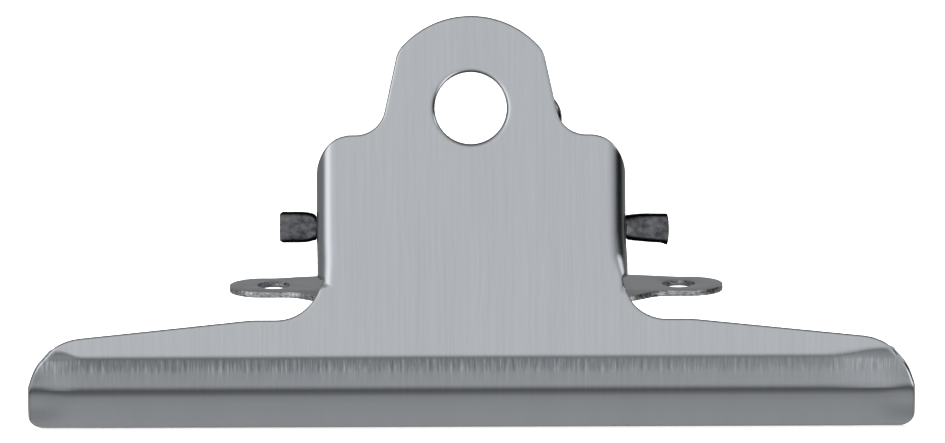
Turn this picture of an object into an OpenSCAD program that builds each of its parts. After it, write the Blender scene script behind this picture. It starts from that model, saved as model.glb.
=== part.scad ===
// Lever clip for a board: one pressed steel lever with a 120 mm jaw, hinged on a
// base plate that is riveted to the board, and driven by a torsion spring.
// Millimetres. X runs along the jaw and +Z points away from the board.
// The origin is midway between the two rivet holes, on the underside of the base.
// The clip is off its board, so the spring has swung the jaw down past the base
// until the lever's inner face stops against the front edge of the base plate.

/* [Lever sheet] */
// Thickness of the lever's sheet steel
lever_t = 0.8; // [0.6:0.05:1]
// Angle by which the lever leans back from upright when it rests on its stop
free_lean = 16; // [10:1:22]
// Distance from the axle's centre line to the lever's outer face
face_off = 7; // [6:0.1:8]

/* [Thumb tab] */
// Radius of the tab's round top, about the centre of the eye
tab_r = 12.4; // [11.5:0.1:13.5]
// Radius where the round top meets the tapered sides
tab_corner_r = 2; // [1:0.1:3]
// Angle of the tab's sides from upright
tab_taper = 12.3; // [10:0.1:15]
// Distance by which the tapered sides cut into the circle of the round top
tab_side_in = 1.2; // [1:0.05:1.6]
// Radius in the corner between the neck and the shoulder
neck_r = 4; // [2:0.1:4.3]
// Bore of the eye that the clip hangs by
eye_d = 9.7; // [7:0.1:12]
// Height of the eye's centre above the axle
eye_u = 15.7; // [15:0.1:18]

/* [Lever body] */
// Width of the body over its two side flanges
body_w = 41.8; // [40:0.1:44]
// Height of the shoulders above the axle
shoulder_u = 12.05; // [11.5:0.05:13]
// Radius of the outer corner of each shoulder
shoulder_r = 5.1; // [3:0.1:5.4]
// Depth below the axle at which the side flanges end
flange_bottom = 7; // [6:0.1:8]
// Outer radius of the bend between the body and a flange
flange_bend_r = 2.5; // [1.5:0.1:2.8]
// Radius of the flange's round end about the axle
flange_end_r = 4.4; // [3.5:0.1:5]
// Distance by which the body's sides below the flanges are set in from them
side_step = 0.5; // [0.2:0.1:1]

/* [Jaw] */
// Length of the jaw
jaw_w = 120; // [100:1:140]
// Depth below the axle at which the arms leave the body
arm_root = 12.95; // [12.5:0.05:13.5]
// Length of an arm's top edge that runs level, from the body's side
arm_level = 8.9; // [8:0.1:12]
// Radius where an arm's top edge starts to fall away
arm_ease_r = 12; // [2:1:20]
// Angle at which the top edges of the arms fall away
arm_slope = 5.7; // [3:0.1:6.5]
// Radius between the body and an arm
arm_fillet_r = 6; // [3:0.1:6.5]
// Radius of the jaw's upper corners
jaw_corner_r = 8.3; // [4:0.1:8.5]
// Radius of the two corners of the gripping lip
lip_corner_r = 1.5; // [0.5:0.1:2.2]
// Depth below the axle at which the first bend of the jaw starts
bend_start = 17.5; // [17:0.1:20]
// Angle of the first bend, from the face to the sloping strip
strip_angle = 30; // [20:1:35]
// Outer radius of the first bend
strip_bend_r = 1.8; // [1.2:0.1:2.5]
// Length of the flat strip between the two bends
strip_len = 4.2; // [3:0.1:6]
// Angle of the second bend, from the strip to the lip
lip_angle = 30; // [20:1:40]
// Outer radius of the second bend
lip_bend_r = 2.6; // [1.4:0.1:3.5]
// Length of the flat lip below the second bend
lip_len = 8.2; // [6:0.1:10]

/* [Base plate] */
// Thickness of the base's sheet steel
base_t = 0.8; // [0.6:0.05:1]
// Height of the axle's centre above the underside of the base
axle_z = 8.5; // [8.2:0.1:10]
// Distance of the axle's centre behind the line of the rivet holes
axle_y = 1; // [0:0.1:2]
// Distance by which the base plate reaches out past the lever's body at each side
base_side = 0.3; // [0:0.1:1.5]
// Distance by which the plate's sides behind the ears are set in from those in front
base_waist = 1.2; // [1:0.1:2]
// Distance of the rear edge behind the line of the rivet holes
base_rear = 15; // [14.5:0.1:18]
// Radius of the plate's front corners
base_front_r = 2; // [0.5:0.1:3]
// Radius of the plate's rear corners
base_rear_r = 3; // [1:0.1:4]
// Distance from the plate's side out to the centre of a rivet hole
rivet_out = 6.2; // [5.6:0.1:9]
// Diameter of a rivet hole
rivet_d = 4.5; // [3:0.1:5.5]
// Width of an ear
ear_w = 9; // [8:0.1:9.8]
// Distance from the centre of a rivet hole to the tip of its ear
ear_tip = 6; // [5:0.1:7]
// Distance over which an ear's front edge slants out from the plate's front corner
ear_flare = 3.3; // [2:0.1:4]
// Radius between the front edge of an ear and its slant
ear_front_r = 4; // [1:0.1:5]
// Distance by which an ear's rear edge slants back on its way in to the plate
ear_rise = 1.7; // [1:0.1:2.5]
// Radius between the rear edge of an ear and the plate's side
ear_rear_r = 1; // [0.5:0.1:2]

/* [Lugs] */
// Radius of a lug's round top about the axle
lug_end_r = 3.6; // [3:0.1:4]
// Width of a lug at its foot
lug_w = 8.4; // [7.5:0.1:9]
// Inner radius of the bend at a lug's foot
lug_bend_r = 0.8; // [0.4:0.1:1.2]
// Slack between the lever's flanges and the lugs, all of it on one side in this pose
side_play = 0.64; // [0.3:0.01:1]

/* [Axle tube] */
// Outside diameter of the axle tube
axle_d = 3; // [2.6:0.1:3.4]
// Bore of the axle tube
axle_bore = 2; // [1.8:0.1:2.2]
// Length of the axle tube outside the lever's body at each side
axle_out = 5.6; // [4.8:0.1:7]
// Width of the flattened ends
axle_flat_w = 4.05; // [3.9:0.05:4.4]
// Thickness of the flattened ends
axle_flat_t = 1.5; // [1.3:0.1:1.9]
// Length over which an end is drawn down flat
axle_taper = 2.8; // [1.5:0.1:3]
// Distance by which the axle has slipped towards the lever's side of the slack
axle_slip = 0.2; // [0:0.05:0.3]

/* [Torsion spring] */
// Diameter of the spring wire
wire_d = 1.8; // [1.4:0.1:1.9]
// Mean radius of the coil
coil_r = 3; // [2.9:0.05:3.2]
// Whole turns in the coil, to which the legs add about a fifth of a turn
coil_turns = 9; // [6:1:9]
// Distance between the two legs, from wire centre to wire centre
leg_pitch = 21.6; // [21.5:0.1:24]
// Centre line radius where a leg turns into its foot
foot_bend_r = 2.9; // [2:0.1:3.2]
// Length from a leg's centre line to the end of its foot
foot_len = 5.4; // [5.1:0.1:5.8]
// Height above the axle at which the upper foot bears on the lever
upper_foot_u = 17.3; // [16:0.1:19]
// Distance behind the axle at which the lower foot bears on the base
lower_foot_y = 11; // [9:0.1:12]

/* [Fits] */
// Radial running clearance of the axle in the lever's flanges
axle_run = 0.05; // [0.02:0.01:0.1]
// Radial clearance of the axle in the lugs
axle_seat = 0.03; // [0.02:0.01:0.05]
// Clearance at each of the flat stops and seats
seat_gap = 0.05; // [0.03:0.01:0.1]

/* [Hidden] */

// Degrees per segment of a rounded corner
arc_step = 5;
// Distance by which a cutting shape runs past what it cuts
over = 1;
// Distance by which the front outline runs past the lip's edge, so that the section cuts it
edge_over = 0.02;
$fn = 96;

inner_off = face_off - lever_t;
half_body = body_w / 2;
half_jaw = jaw_w / 2;
half_base = half_body + base_side;
rivet_x = half_base + rivet_out;
arm_fall = tan(arm_slope);
// Half of the tab's width if its tapered sides ran down to the axle's height
tab_edge = (tab_r - tab_side_in) / cos(tab_taper) + eye_u * tan(tab_taper);
// Corner between the neck and the shoulder, and the end of the arc that rounds it
neck_x = tab_edge - shoulder_u * tan(tab_taper);
neck_end = neck_x + neck_r / tan(45 + tab_taper / 2);
// A shoulder's corner is rounded as far as the neck leaves it room
shoulder_arc = min(shoulder_r, half_body - neck_end);
// The flanges' bends run up to the round shoulders
flange_top = shoulder_u - shoulder_arc;
wire_r = wire_d / 2;
axle_r = axle_d / 2;
// Outer face of a lug: the flanges' inner faces less the slack and one seat gap
lug_x = half_body - lever_t - side_play - seat_gap;
// The stop: the front edge lies where the leaning lever's inner face crosses the base
stop_y = axle_y - (inner_off + (axle_z - base_t) * sin(free_lean)) / cos(free_lean) + seat_gap;

// Moves shapes drawn about the axle into the lever's place: local -Y is the
// outer face's direction and local Z runs up the lever
module on_lever() {
    translate([-side_play, axle_y, axle_z])
        rotate([-free_lean, 0, 0])
            children();
}

// Outlines

// Rounds corner b of the path a, b, c by b's radius, as points on an arc
function corner(a, b, c) =
    let (
        p = [b.x, b.y],
        to_a = [a.x, a.y] - p,
        to_c = [c.x, c.y] - p,
        ua = to_a / norm(to_a),
        uc = to_c / norm(to_c),
        open = acos(ua * uc),
        mid = (ua + uc) / norm(ua + uc),
        o = p + mid * b.z / sin(open / 2),
        from = p + ua * b.z / tan(open / 2) - o,
        to = p + uc * b.z / tan(open / 2) - o,
        start = atan2(from.y, from.x),
        turned = atan2(to.y, to.x) - start,
        sweep = turned > 180 ? turned - 360 : turned < -180 ? turned + 360 : turned,
        steps = max(2, ceil(abs(sweep) / arc_step))
    )
    b.z == 0 ? [p] : [for (i = [0:steps])
        let (a = start + sweep * i / steps)
        o + b.z * [cos(a), sin(a)]];

// The whole outline of corners given as [x, y, radius]
function rounded(path) =
    let (n = len(path))
    [for (i = [0:n - 1]) each corner(path[(i + n - 1) % n], path[i], path[(i + 1) % n])];

// The same corners on the other side of the centre line, in reverse
function mirrored(path) = [for (i = [len(path) - 1:-1:0]) [-path[i].x, path[i].y, path[i].z]];

// Point at which a line from p touches a circle of radius r about the origin
function touch(p, r, side) =
    let (a = atan2(p.y, p.x) + side * acos(r / norm(p)))
    r * [cos(a), sin(a)];

// Lever plate

// The bent section, seen from the side: x runs down the lever and y out of its face
total_angle = strip_angle + lip_angle;
strip_setback = strip_bend_r * tan(strip_angle / 2);
lip_setback = lip_bend_r * tan(lip_angle / 2);

function down(a) = [cos(a), -sin(a)];
function outward(a) = [sin(a), cos(a)];
// The inner side of a corner of the sheet between two directions
function inner(p, a, b) = p - lever_t * (outward(a) + outward(b)) / (1 + outward(a) * outward(b));

strip_corner = [bend_start + strip_setback, face_off];
lip_corner = strip_corner + (strip_setback + strip_len + lip_setback) * down(strip_angle);
lip_edge = lip_corner + (lip_setback + lip_len) * down(total_angle);
strip_inner = inner(strip_corner, 0, strip_angle);
lip_inner = inner(lip_corner, strip_angle, total_angle);
edge_inner = inner(lip_edge, total_angle, total_angle);

module lever_section() {
    top = -eye_u - tab_r - over;
    polygon(rounded([
        [top, face_off, 0],
        [strip_corner.x, strip_corner.y, strip_bend_r],
        [lip_corner.x, lip_corner.y, lip_bend_r],
        [lip_edge.x, lip_edge.y, 0],
        [edge_inner.x, edge_inner.y, 0],
        [lip_inner.x, lip_inner.y, lip_bend_r - lever_t],
        [strip_inner.x, strip_inner.y, strip_bend_r - lever_t],
        [top, inner_off, 0],
    ]));
}

// Angle, up from the side, at which the round top ends, and the degrees of straight
// edge between it and the tab's corner
tab_ease = 0.7;
tab_touch = tab_taper + acos((tab_r - tab_side_in - tab_corner_r) / (tab_r - tab_corner_r)) + tab_ease;
// Height at which the tapered side meets the line that touches the round top at tab_touch
tab_corner_u = (tab_r + eye_u * sin(tab_touch) - tab_edge * cos(tab_touch))
    / (sin(tab_touch) - cos(tab_touch) * tan(tab_taper));

// The corner that the round top is rounded from
tab_peak = [0, eye_u + tab_r / sin(tab_touch), tab_r];

// Right side of the lever's front outline, from the tab down
lever_right = [
    [tab_edge - tab_corner_u * tan(tab_taper), tab_corner_u, tab_corner_r],
    [neck_x, shoulder_u, neck_r],
    [half_body + edge_over, shoulder_u, shoulder_arc],
    [half_body + edge_over, 0, 0],
    [half_body - side_step, 0, 0],
    [half_body - side_step, -arm_root, arm_fillet_r],
    [half_body + arm_level, -arm_root, arm_ease_r],
    [half_jaw, -arm_root - (half_jaw - half_body - arm_level) * arm_fall, jaw_corner_r],
    [half_jaw, -lip_edge.x - edge_over, lip_corner_r],
];

// Front view of the lever, less the strips at each side that the flanges' bends take
module lever_outline() {
    strip_top = shoulder_u + over;
    difference() {
        polygon(rounded(concat([tab_peak], lever_right, mirrored(lever_right))));
        for (side = [-1, 1])
            translate([side * (half_body - flange_bend_r / 2 + over / 2), (strip_top - flange_bottom) / 2])
                square([flange_bend_r + over, strip_top + flange_bottom], center = true);
    }
}

// Front view of the space that the right flange and its bend fill, under the shoulder
module shoulder_outline() {
    side = half_body + edge_over;
    polygon(rounded([
        [0, -flange_bottom - over, 0],
        [side, -flange_bottom - over, 0],
        [side, shoulder_u, shoulder_arc],
        [0, shoulder_u, 0],
    ]));
}

// Side view of a flange: y is the height above the axle and x the way to the outer face
module flange_side() {
    front = face_off - flange_bend_r;
    upper = [front, flange_top];
    lower = [front, -flange_bottom];
    circle(flange_end_r);
    polygon([
        upper,
        touch(upper, flange_end_r, 1),
        [0, 0],
        touch(lower, flange_end_r, -1),
        lower,
        [face_off + over, -flange_bottom],
        [face_off + over, shoulder_u + over],
        [front, shoulder_u + over],
    ]);
}

// One flange with its bend, on the right side
module flange() {
    intersection() {
        translate([0, 0, -flange_bottom])
            linear_extrude(shoulder_u + over + flange_bottom)
                translate([half_body - flange_bend_r, -(face_off - flange_bend_r)]) {
                    intersection() {
                        difference() {
                            circle(flange_bend_r);
                            circle(flange_bend_r - lever_t);
                        }
                        translate([0, -2 * flange_bend_r]) square(2 * flange_bend_r);
                    }
                    translate([flange_bend_r - lever_t, 0])
                        square([lever_t, face_off - flange_bend_r + flange_end_r]);
                }
        rotate([90, 0, 0]) linear_extrude(4 * face_off, center = true) shoulder_outline();
        rotate([90, 0, -90]) linear_extrude(2 * body_w, center = true) flange_side();
    }
}

module lever_plate() {
    color("silver")
        on_lever()
            difference() {
                union() {
                    intersection() {
                        rotate([180, 90, 0])
                            linear_extrude(jaw_w + 2 * over, center = true) lever_section();
                        rotate([90, 0, 0])
                            linear_extrude(4 * face_off, center = true) lever_outline();
                    }
                    flange();
                    mirror([1, 0, 0]) flange();
                }
                translate([0, 0, eye_u])
                    rotate([90, 0, 0]) cylinder(h = face_off + over, d = eye_d);
                rotate([0, 90, 0]) cylinder(h = body_w + 2 * over, r = axle_r + axle_run, center = true);
            }
}

// Base plate

// Length of sheet that a lug takes: its bend and its height
lug_blank = PI / 2 * (lug_bend_r + base_t / 2) + axle_z + lug_end_r - base_t - lug_bend_r;
window_out = lug_x + lug_bend_r;

// Right half of the base's outline, from the front edge round to the rear
base_right = [
    [half_base, stop_y, base_front_r],
    [half_base + ear_flare, -ear_w / 2, ear_front_r],
    [rivet_x + ear_tip, -ear_w / 2, ear_w / 2],
    [rivet_x + ear_tip, ear_w / 2, ear_w / 2],
    [rivet_x, ear_w / 2, 0],
    [half_base - base_waist, ear_w / 2 + ear_rise, ear_rear_r],
    [half_base - base_waist, base_rear, base_rear_r],
];

module base_outline() {
    difference() {
        polygon(rounded(concat(base_right, mirrored(base_right))));
        for (side = [-1, 1]) {
            translate([side * rivet_x, 0]) circle(d = rivet_d);
            // the window that the lug was struck up from
            translate([side * (window_out - lug_blank / 2), axle_y])
                square([lug_blank, lug_w], center = true);
        }
    }
}

// Side view of a lug: x runs back from the axle and y up from it
module lug_side() {
    foot = base_t + lug_bend_r - axle_z;
    left = [-lug_w / 2, foot];
    right = [lug_w / 2, foot];
    circle(lug_end_r);
    polygon([
        touch(right, lug_end_r, 1),
        [0, 0],
        touch(left, lug_end_r, -1),
        left,
        [-lug_w / 2, -axle_z - over],
        [lug_w / 2, -axle_z - over],
        right,
    ]);
}

// One lug, struck up out of the plate on the right side
module lug() {
    intersection() {
        translate([0, axle_y + lug_w / 2, 0])
            rotate([90, 0, 0])
                linear_extrude(lug_w) {
                    translate([window_out, base_t + lug_bend_r])
                        intersection() {
                            difference() {
                                circle(lug_bend_r + base_t);
                                circle(lug_bend_r);
                            }
                            translate([-2 * window_out, -2 * window_out]) square(2 * window_out);
                        }
                    translate([lug_x - base_t, base_t + lug_bend_r])
                        square([base_t, axle_z + lug_end_r]);
                }
        translate([0, axle_y, axle_z])
            rotate([90, 0, 90]) linear_extrude(4 * window_out, center = true) lug_side();
    }
}

module base_plate() {
    color("gainsboro")
        difference() {
            union() {
                linear_extrude(base_t) base_outline();
                lug();
                mirror([1, 0, 0]) lug();
            }
            translate([0, axle_y, axle_z])
                rotate([0, 90, 0]) cylinder(h = body_w, r = axle_r + axle_seat, center = true);
        }
}

// Axle tube

// The tube stays round out to the lever's two flanges. Measured from the axle's middle, the
// right one lies nearer than the left one, because the lever has slid to the left
flange_shift = side_play - axle_slip;

// Section of a drawn-down end
module flattened(w, t) {
    square([t, w - t], center = true);
    for (side = [-1, 1]) translate([0, side * (w - t) / 2]) circle(d = t);
}

// The tube's outer or inner shape on one side, along +Z, round up to round_end
module axle_half(round_end, d, w, t, tip) {
    slice = 0.01;
    flat_start = round_end + axle_taper;
    cylinder(h = round_end, d = d);
    hull() {
        translate([0, 0, round_end - slice]) cylinder(h = slice, d = d, $fn = 32);
        translate([0, 0, flat_start]) linear_extrude(slice) flattened(w, t, $fn = 24);
    }
    translate([0, 0, flat_start])
        linear_extrude(half_body + axle_out - flat_start + tip) flattened(w, t);
}

module axle_tube() {
    wall = (axle_d - axle_bore) / 2;
    color("dimgray")
        translate([-axle_slip, axle_y, axle_z])
            for (side = [0, 1]) {
                round_end = half_body + seat_gap + (side == 0 ? -1 : 1) * flange_shift;
                mirror([side, 0, 0])
                    rotate([0, 90, 0]) rotate([0, 0, 90])
                        difference() {
                            axle_half(round_end, axle_d, axle_flat_w, axle_flat_t, 0);
                            translate([0, 0, -over / 2]) cylinder(h = over, d = axle_bore);
                            axle_half(round_end, axle_bore, axle_flat_w - 2 * wall,
                                axle_flat_t - 2 * wall, over);
                        }
            }
}

// Torsion spring

// Corners of one ring of the wire, rings in a turn of the coil and rings in a foot's bend
ring_sides = 6;
rings_per_turn = 8;
bend_rings = 6;

// Where the feet bear, as [back, up] from the axle
foot_n = inner_off - wire_r - seat_gap;
upper_foot = [
    upper_foot_u * sin(free_lean) - foot_n * cos(free_lean),
    upper_foot_u * cos(free_lean) + foot_n * sin(free_lean),
];
lower_foot = [lower_foot_y, base_t + seat_gap + wire_r - axle_z];

// Angles about the axle at which the legs leave the coil, and the turn between them
upper_leave = atan2(upper_foot.y, upper_foot.x) + acos(coil_r / norm(upper_foot));
lower_leave = atan2(lower_foot.y, lower_foot.x) - acos(coil_r / norm(lower_foot)) + 360;
coil_angle = 360 * coil_turns + lower_leave - upper_leave;
coil_steps = ceil(coil_angle / 360 * rings_per_turn);
leg_x = leg_pitch / 2;

function unit(v) = v / norm(v);
function coil_point(a) = coil_r * [cos(a), sin(a)];

// A foot and its bend, from the foot's end to the leg, on the side given
function foot_path(foot, leave, side) =
    let (
        out = unit(foot - coil_point(leave)),
        centre = foot - foot_bend_r * out,
        mid_x = leg_x - foot_bend_r
    )
    concat(
        [[side * (leg_x - foot_len), foot.x, foot.y]],
        [for (i = [0:bend_rings])
            let (a = 90 * i / bend_rings, at = centre + foot_bend_r * cos(a) * out)
            [side * (mid_x + foot_bend_r * sin(a)), at.x, at.y]]
    );

function reversed(list) = [for (i = [len(list) - 1:-1:0]) list[i]];

// Centre line of the wire, from the upper foot to the lower one
wire_path = concat(
    foot_path(upper_foot, upper_leave, 1),
    [for (i = [0:coil_steps])
        let (done = i / coil_steps, at = coil_point(upper_leave + coil_angle * done))
        [leg_x - leg_pitch * done, at.x, at.y]],
    reversed(foot_path(lower_foot, lower_leave, -1))
);

last = len(wire_path) - 1;
wire_dirs = [for (i = [0:last])
    unit((i < last ? unit(wire_path[i + 1] - wire_path[i]) : [0, 0, 0])
        + (i > 0 ? unit(wire_path[i] - wire_path[i - 1]) : [0, 0, 0]))];

// The reference direction of each ring, carried along the wire without twist
function squared(v, dir) = unit(v - (v * dir) * dir);
wire_refs = [for (i = 0, ref = squared([0, 0, 1], wire_dirs[0]); i <= last;
    i = i + 1, ref = squared(ref, wire_dirs[min(i, last)])) ref];

// Corners of every ring of the wire, in order
wire_points = [for (i = [0:last])
    let (side_dir = cross(wire_dirs[i], wire_refs[i]))
    for (k = [0:ring_sides - 1])
        let (a = 360 * k / ring_sides)
        wire_path[i] + wire_r * (cos(a) * wire_refs[i] + sin(a) * side_dir)];

// Least distance between corners of rings that are more than half a turn apart
function least_gap() =
    let (apart = rings_per_turn / 2 + 1)
    min([for (i = [0:last - apart]) for (j = [i + apart:last])
        if (norm(wire_path[i] - wire_path[j]) < 2 * wire_d)
            for (k = [0:ring_sides - 1]) for (m = [0:ring_sides - 1])
                norm(wire_points[i * ring_sides + k] - wire_points[j * ring_sides + m])]);

module torsion_spring() {
    skin = [for (i = [0:last - 1]) for (k = [0:ring_sides - 1])
        let (a = i * ring_sides + k, b = i * ring_sides + (k + 1) % ring_sides)
        each [[a, a + ring_sides, b], [b, a + ring_sides, b + ring_sides]]];
    start_cap = [for (k = [1:ring_sides - 2]) [0, k, k + 1]];
    end_corner = last * ring_sides;
    end_cap = [for (k = [1:ring_sides - 2]) [end_corner, end_corner + k + 1, end_corner + k]];
    echo(least_gap_of_the_wire_to_itself = least_gap());
    color("slategray")
        translate([0, axle_y, axle_z])
            polyhedron(wire_points, concat(skin, start_cap, end_cap), convexity = 10);
}

lever_plate();
base_plate();
axle_tube();
torsion_spring();
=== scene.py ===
"""Looks for a clipboard clip: a brushed steel lever on a riveted base plate, with its axle and spring.

Sizes are in millimetres, as in the part's own source, and each piece is scaled to metres as it is made.
Lever pieces are drawn flat about the axle, with s across the lever and u up it, and then bent.
"""
import math

import bmesh
import bpy
import numpy as np
from mathutils import Matrix, Vector
from mathutils.geometry import delaunay_2d_cdt


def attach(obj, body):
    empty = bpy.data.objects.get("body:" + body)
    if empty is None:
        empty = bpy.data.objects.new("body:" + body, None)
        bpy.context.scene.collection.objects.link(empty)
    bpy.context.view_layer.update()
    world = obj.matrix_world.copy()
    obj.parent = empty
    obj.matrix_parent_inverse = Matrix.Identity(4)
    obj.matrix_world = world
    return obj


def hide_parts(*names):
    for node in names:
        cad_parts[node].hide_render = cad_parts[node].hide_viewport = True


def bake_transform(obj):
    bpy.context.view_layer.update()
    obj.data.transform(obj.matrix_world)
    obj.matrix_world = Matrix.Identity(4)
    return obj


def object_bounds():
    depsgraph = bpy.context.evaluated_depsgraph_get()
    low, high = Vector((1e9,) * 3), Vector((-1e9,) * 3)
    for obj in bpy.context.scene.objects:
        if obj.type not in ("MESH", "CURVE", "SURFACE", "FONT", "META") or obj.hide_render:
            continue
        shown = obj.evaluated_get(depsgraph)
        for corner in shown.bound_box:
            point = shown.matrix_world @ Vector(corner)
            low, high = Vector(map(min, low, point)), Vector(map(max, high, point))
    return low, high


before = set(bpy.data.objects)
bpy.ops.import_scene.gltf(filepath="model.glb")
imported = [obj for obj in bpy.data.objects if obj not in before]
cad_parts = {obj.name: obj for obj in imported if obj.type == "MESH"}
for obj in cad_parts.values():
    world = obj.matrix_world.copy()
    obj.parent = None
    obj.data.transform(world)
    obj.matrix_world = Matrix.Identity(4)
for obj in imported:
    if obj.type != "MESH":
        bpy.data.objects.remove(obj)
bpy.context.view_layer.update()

MM = 0.001

# The lever's sheet, its lean, its hinge line, and its face's height over that line
SHEET = 0.8
LEAN = math.radians(16)
AXLE_Y, AXLE_Z = 1.0, 8.5
SIDE_PLAY = 0.64
FACE = 7.0

# The thumb tab and its eye
TAB_R, TAB_CORNER_R, TAB_TAPER, TAB_SIDE_IN = 12.5, 3.4, math.radians(12.3), 1.2
TAB_TOUCH = math.radians(0.7)
EYE_U, EYE_R = 15.7, 4.85

# The body and its shoulders
HALF_BODY, BODY_SIDE, SHOULDER_U, SHOULDER_R, NECK_R = 20.9, 20.4, 12.08, 4.85, 4.0

# The side flanges: their bend, their round end about the axle, and the notch cut in at their foot
FLANGE_BEND_R, FLANGE_END_R, FLANGE_BOTTOM = 2.5, 4.4, -7.0
FLANGE_S = HALF_BODY - FLANGE_BEND_R + FLANGE_BEND_R * math.pi / 2
BORE_S = FLANGE_S + FACE - FLANGE_BEND_R
NOTCH_SLOPE, NOTCH_FLARE, NOTCH_FOOT_U = 0.35, 0.08, -8.0
NOTCH_MOUTH_R, NOTCH_ROOT_R = 0.8, 0.25

# The jaw: two arms, the sloping strip and the gripping lip
HALF_JAW, JAW_CORNER_R = 60.0, 8.05
ARM_ROOT, ARM_LEVEL, ARM_EASE_R, ARM_SLOPE, ARM_FILLET_R = 12.95, 8.9, 12.0, math.radians(5.85), 6.0
ARM_EASE_S = HALF_BODY + ARM_LEVEL
JAW_TOP = -ARM_ROOT - (HALF_JAW - ARM_EASE_S) * math.tan(ARM_SLOPE)
BEND_START, STRIP_ANGLE, STRIP_BEND_R, STRIP_LEN = 17.5, math.radians(30), 1.05, 4.2
LIP_ANGLE, LIP_BEND_R, LIP_LEN = math.radians(60), 4.0, 7.83
PROFILE_STEP, PROFILE_SPARE = 0.01, 0.5
# how far below the axle the lip ends, and its corner's radius, at its left and right ends
LIP_ENDS = ((26.94, 1.9), (27.03, 2.05))
LIP_CORNER_FLATTENED = 0.7

# Pressing and shearing: how far cut edges roll over, and the burr on the back
RIM_ROLL, JAW_CORNER_ROLL, EYE_ROLL, BORE_ROLL, BURR = 0.33, 0.06, 0.6, 0.12, 0.12
# rings of points inward over a rolled edge, as shares of the roll, and one more past it on the flat
RING_STEPS, FLAT_RING = (0.0, 0.076, 0.293, 0.617, 1.0), 0.28
# the spacing of points along a cut edge, and how far the grid's points stay away from it
RIM_SPACING, GRID_CLEAR = 0.55, 0.5

# The base plate
BASE_T, BASE_EDGE_BREAK, BASE_WALL_TOP = 0.8, 0.13, 1.2

# The axle tube and its flattened ends. It has slipped a little to the left
AXLE_D, AXLE_BORE, AXLE_OUT, AXLE_SLIP, AXLE_FIT = 3.0, 2.0, 5.47, 0.2, 0.05
AXLE_FLAT_W, AXLE_FLAT_T, AXLE_TAPER, AXLE_RIGHT_TAPER = 4.28, 1.7, 2.8, 5.0
AXLE_RIM_R, AXLE_BOW = 0.14, 1.2

# The spring
WIRE_R, COIL_R, COIL_TURNS, LEG_PITCH = 0.9, 3.0, 9, 21.6
FOOT_BEND_R, FOOT_LEN, UPPER_FOOT_U, LOWER_FOOT_Y, SEAT_GAP = 2.9, 5.4, 17.3, 11.0, 0.05

# The camera: a long lens, aimed a little down at the clip
CAMERA_AWAY, VIEW_WIDTH, SENSOR = 2500.0, 128.0, 36.0
CAMERA_TILT, CAMERA_ROLL = math.radians(12), math.radians(-0.24)
AIM_X, AIM_UP = -0.46, 0.77


def linear(hex_colour):
    """An sRGB hex colour as the linear colour that shaders take."""
    parts = [int(hex_colour[i:i + 2], 16) / 255 for i in (1, 3, 5)]
    return tuple(c / 12.92 if c <= 0.04045 else ((c + 0.055) / 1.055) ** 2.4 for c in parts) + (1.0,)


def add_node(tree, kind, values=None, links=None, stops=None, **settings):
    """Adds a node: settings are its own properties, values go to its sockets, links feed its sockets."""
    made = tree.nodes.new(kind)
    for name, value in settings.items():
        setattr(made, name, value)
    for socket, value in (values or {}).items():
        made.inputs[socket].default_value = value
    for socket, source in (links or {}).items():
        tree.links.new(source, made.inputs[socket])
    if stops:
        ramp = made.color_ramp
        for end, (place, colour) in zip(list(ramp.elements), (stops[0], stops[-1])):
            end.position, end.color = place, colour
        for place, colour in stops[1:-1]:
            ramp.elements.new(place).color = colour
    return made


# Materials

def bare_steel(name, metallic=1.0):
    """A new material, its node tree and its shader, set up as steel."""
    material = bpy.data.materials.new(name)
    material.use_nodes = True
    steel = material.node_tree.nodes["Principled BSDF"]
    steel.inputs["Metallic"].default_value = metallic
    return material, material.node_tree, steel


def press_scuffs_and_painted_streaks(tree, flat, skin, smooth_steel):
    """The skin's colour with short upright streaks half a millimetre apart, just below the first bend: real
    scratches from the press, with painted highlight and painted shade where the bend's brush lines catch the
    light. They are fainter on the jaw's right."""
    drag = add_node(tree, "ShaderNodeMapping", values={"Scale": (1.9, 0.16, 1.0)},
                    links={"Vector": flat.outputs[0]})
    marks = add_node(tree, "ShaderNodeTexNoise", values={"Scale": 1.0, "Detail": 3.0, "Roughness": 0.7},
                     links={"Vector": drag.outputs[0]})
    # painted highlight and shade: the streaks run from dark grey to near white
    scuff_and_streak_colour = add_node(tree, "ShaderNodeValToRGB", links={"Fac": marks.outputs["Fac"]},
                      stops=[(0.36, linear("#989ea6")), (0.52, linear(smooth_steel)),
                             (0.66, linear("#f0f3f7"))])
    place = add_node(tree, "ShaderNodeSeparateXYZ", links={0: flat.outputs[0]})
    # from the second bend (0) to above the first (1)
    strip = add_node(tree, "ShaderNodeMapRange", values={"From Min": -22.0, "From Max": -17.0},
                     links={"Value": place.outputs["Y"]})
    where = add_node(tree, "ShaderNodeValToRGB", links={"Fac": strip.outputs[0]},
                     stops=[(at, (v, v, v, 1)) for at, v in ((0.1, 0), (0.36, 0.2), (0.5, 0.9), (0.7, 0.9),
                                                             (0.79, 0))])
    faint = add_node(tree, "ShaderNodeMapRange", links={"Value": place.outputs["X"]},
                     values={"From Min": 8.0, "From Max": 30.0, "To Min": 0.95, "To Max": 0.55})
    amount = add_node(tree, "ShaderNodeMath", operation="MULTIPLY",
                      links={0: where.outputs["Color"], 1: faint.outputs[0]})
    return add_node(tree, "ShaderNodeMix", data_type="RGBA",
                    links={0: amount.outputs[0], 6: skin, 7: scuff_and_streak_colour.outputs["Color"]})


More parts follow.
